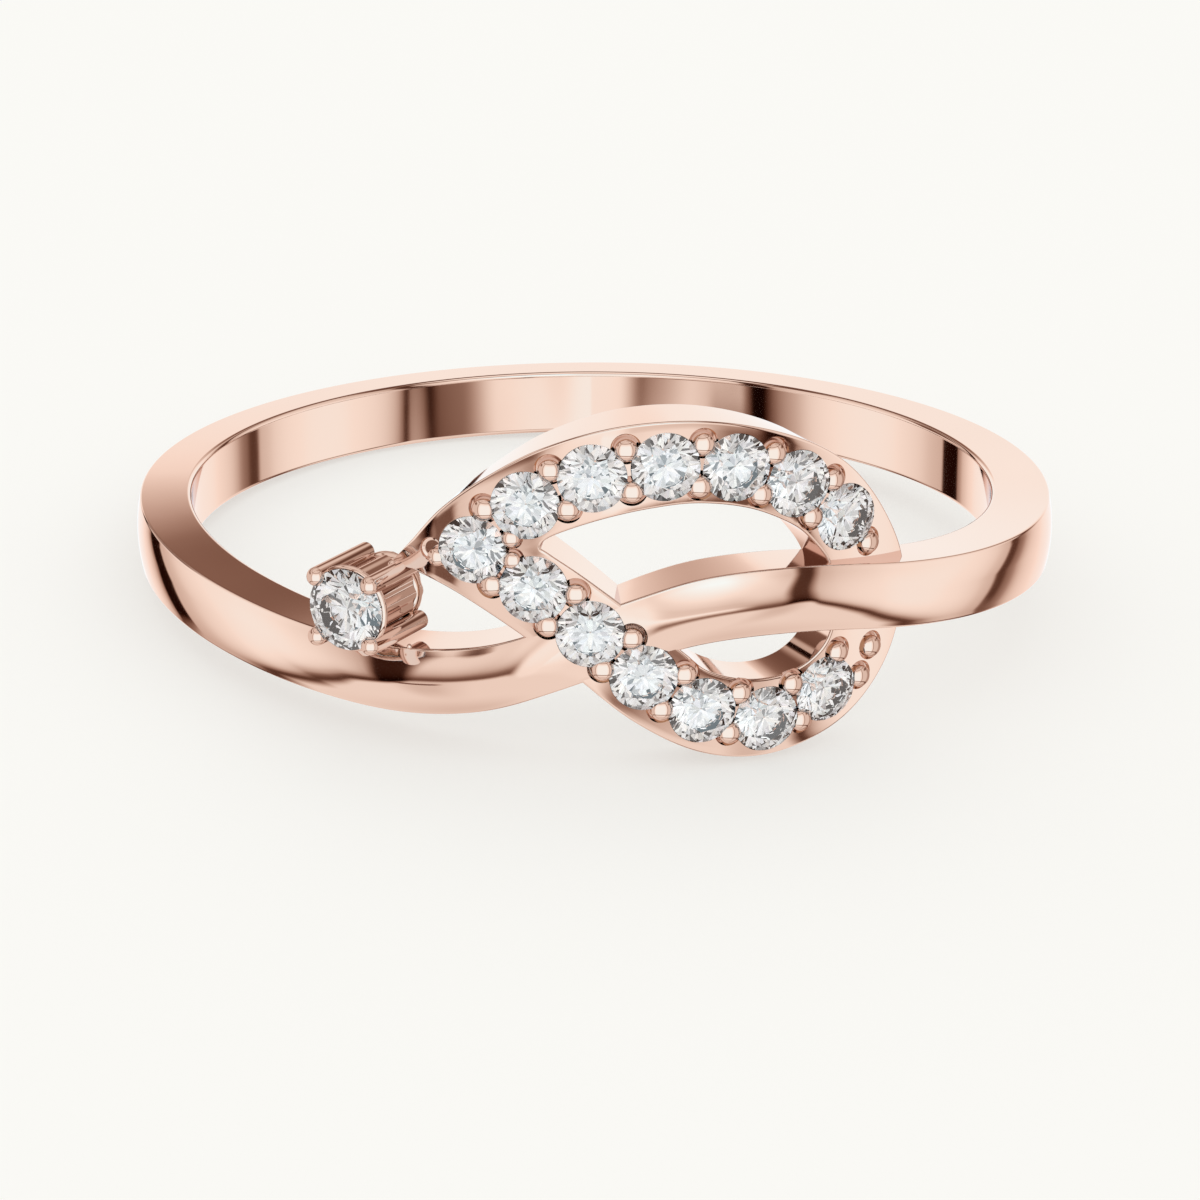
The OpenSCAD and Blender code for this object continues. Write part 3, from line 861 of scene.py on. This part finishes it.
# straight ahead there is next to no shade
ahead = calc("MAXIMUM", smooth(turn, 170, 177, 0.0, 0.8), smooth(turn, -172, -164, 0.85, 0.0))
shade = blend(ahead, shade, 1.0)
# between the walls and the ceiling runs a dark joint
WALLS_END, CEILING_FROM, CEILING_LIGHT, JOINT_LIGHT = (52, 58), (62, 68), 0.95, 0.12
walls = calc("MULTIPLY", panels, shade)
walls = calc("MULTIPLY", walls, smooth(rise, *WALLS_END, 1.0, JOINT_LIGHT))
ceiling = smooth(rise, *CEILING_FROM, JOINT_LIGHT, CEILING_LIGHT)
in_joint = smooth(rise, WALLS_END[1], CEILING_FROM[0])
walls = calc("MAXIMUM", walls, calc("MULTIPLY", ceiling, in_joint))

# the ground, darker near the ring and black under it, and a little darker toward both front corners
GROUND_NEAR, GROUND_FAR, GROUND_UNDER = 0.62, 0.87, 0.05
LEFT_CORNER, RIGHT_CORNER = (-139, 2, 11, 0.25), (132, 1, 9, 0.25)
LINE_SOFT = 6.5
under = smooth(rise, -85, -79, GROUND_UNDER, 1.0)
ground = calc("MULTIPLY", smooth(rise, -88, -48, GROUND_NEAR, GROUND_FAR), under)
corners = calc("MULTIPLY", gap(turn, *LEFT_CORNER), gap(turn, *RIGHT_CORNER))
ground = calc("MULTIPLY", ground, blend(smooth(rise, -62, -28), 1.0, corners))
light = blend(smooth(above, -LINE_SOFT, 0), ground, walls)
# a low dark flag at the front left, which the face of the loop's tip picks up
LOW_FLAG, LOW_FLAG_RISE, LOW_FLAG_HALF, LOW_FLAG_END = (-137, 4.5, 4, 0.85), -17.4, 1.2, 2.1
from_flag = calc("ABSOLUTE", calc("ADD", rise, -LOW_FLAG_RISE))
low_enough = smooth(from_flag, LOW_FLAG_HALF, LOW_FLAG_END, 1.0, 0.0)
light = calc("MULTIPLY", light, blend(low_enough, 1.0, gap(turn, *LOW_FLAG)))

# the beads and the setting, which are nearly mirrors and very small, see the studio as a plain
# box: bright in front, with thin dark joints between its walls, floor and ceiling
BOX_FRONT, BOX_BACK, BOX_CEILING, BOX_FLOOR = 1.18, 0.70, 0.74, 0.70
CORNER_JOINT, CEILING_JOINT, FLOOR_JOINT = (125, 0.65), (50, 0.7), (-44, 0.85)
JOINT_HALF, JOINT_SOFT = 1.4, 2.6
BACK_STRIPE, RIGHT_STRIPE = (27, 4, 7, 0.8), (58, 14, 16, 0.5)
path = nodes.new("ShaderNodeLightPath")
side_turn = calc("ABSOLUTE", turn)
box = blend(smooth(side_turn, 116, 148), BOX_BACK, BOX_FRONT)
box = blend(smooth(rise, 20, 58), box, BOX_CEILING)
box = blend(smooth(rise, -66, -38), BOX_FLOOR, box)
joints = ((side_turn, CORNER_JOINT), (rise, CEILING_JOINT), (rise, FLOOR_JOINT))
for value, (middle, dark) in joints:
    box = calc("MULTIPLY", box, gap(value, middle, JOINT_HALF, JOINT_SOFT, dark))
from_back = smooth(side_turn, 90, 110, 1.0, 0.0)
box = calc("MULTIPLY", box, blend(from_back, 1.0, gap(rise, *BACK_STRIPE)))
box = calc("MULTIPLY", box, gap(turn, *RIGHT_STRIPE))
metal_light = blend(path.outputs["Is Singular Ray"], light, box)

# rose gold takes a warmer tone in the shade and a cooler one in the light. Light thrown from gold
# to gold is given a little less red and more blue each time, so that the hollows stay brown.
RED_IN_SHADE, BLUE_IN_SHADE, BLUE_IN_LIGHT = 0.75, 1.12, 0.35
RED_AGAIN, RED_TIMES, BLUE_AGAIN, BLUE_TIMES = 0.87, 4.0, 1.13, 2.0
through = calc("MINIMUM", path.outputs["Transmission Depth"], 1.0)
times = calc("MAXIMUM", calc("SUBTRACT", path.outputs["Ray Depth"], 2.0), 0.0)
times = calc("MULTIPLY", times, calc("SUBTRACT", 1.0, through))
warm = nodes.new("ShaderNodeCombineColor")
red = calc("MINIMUM", calc("POWER", metal_light, RED_IN_SHADE), 1.0)
red = calc("MULTIPLY", red, calc("POWER", RED_AGAIN, calc("MINIMUM", times, RED_TIMES)))
over = calc("POWER", calc("MAXIMUM", metal_light, 1.0), BLUE_IN_LIGHT)
blue = calc("MULTIPLY", calc("POWER", metal_light, BLUE_IN_SHADE), over)
blue = calc("MULTIPLY", blue, calc("POWER", BLUE_AGAIN, calc("MINIMUM", times, BLUE_TIMES)))
link(red, warm.inputs["Red"])
link(metal_light, warm.inputs["Green"])
link(blue, warm.inputs["Blue"])

# light that leaves the stones sees the same panels, with less dark gaps and a little fire: fine
# stripes that lie a bit apart in red, green and blue
STONE_LIGHT, STONE_LEAST = 0.84, 0.12
FIRE, FIRE_SHARP, FIRE_BY_TURN, FIRE_BY_RISE = 0.08, 7.0, 0.62, 0.9
bright = calc("ADD", calc("MULTIPLY", light, STONE_LIGHT), STONE_LEAST)
across = calc("ADD", calc("MULTIPLY", turn, FIRE_BY_TURN), calc("MULTIPLY", rise, FIRE_BY_RISE))
fire = nodes.new("ShaderNodeCombineColor")
for name, phase in (("Red", 0.0), ("Green", 0.4), ("Blue", 0.8)):
    stripe = calc("POWER", calc("SINE", calc("ADD", across, phase)), FIRE_SHARP)
    glint = calc("ADD", 1.0, calc("MULTIPLY", stripe, FIRE))
    link(calc("MULTIPLY", bright, glint), fire.inputs[name])


# one colour, and another one for one kind of ray
def swap(factor, old, colour):
    node = nodes.new("ShaderNodeMix")
    node.data_type = "RGBA"
    link(factor, node.inputs[0])
    link(old, node.inputs[6])
    if isinstance(colour, tuple):
        node.inputs[7].default_value = colour
    else:
        link(colour, node.inputs[7])
    return node.outputs[2]


FLOOR_LIGHT, BACKDROP = (1.06, 1.06, 1.06, 1), (0.956, 0.948, 0.913, 1)
seen = swap(path.outputs["Is Transmission Ray"], warm.outputs["Color"], fire.outputs["Color"])
seen = swap(path.outputs["Is Diffuse Ray"], seen, FLOOR_LIGHT)
seen = swap(path.outputs["Is Camera Ray"], seen, BACKDROP)
link(seen, nodes["Background"].inputs["Color"])

# the camera, whose tilt and scale were solved from the photo, looks along the ring's middle
PHOTO = 1200
PIXELS_PER_MM = 48.11
MIDDLE_X, MIDDLE_Y = 591.2, 509.4
CAMERA_RISE, CAMERA_AWAY = 17.21, 80.0
SENSOR = 36
eye = Matrix.Rotation(math.radians(90 - CAMERA_RISE), 4, "X")
camera = bpy.data.cameras.new("camera")
camera.sensor_width = SENSOR
camera.lens = SENSOR * PIXELS_PER_MM * CAMERA_AWAY / PHOTO
camera.shift_x = (PHOTO / 2 - MIDDLE_X) / PHOTO
camera.shift_y = (MIDDLE_Y - PHOTO / 2) / PHOTO
camera.clip_start = 0.002
camera.clip_end = 20
viewer = bpy.data.objects.new("camera", camera)
bpy.context.collection.objects.link(viewer)
stand = Matrix.Translation(LAY_DOWN @ (eye @ Vector((0, 0, CAMERA_AWAY))))
viewer.matrix_world = stand @ REST_TURN @ eye
scene.camera = viewer
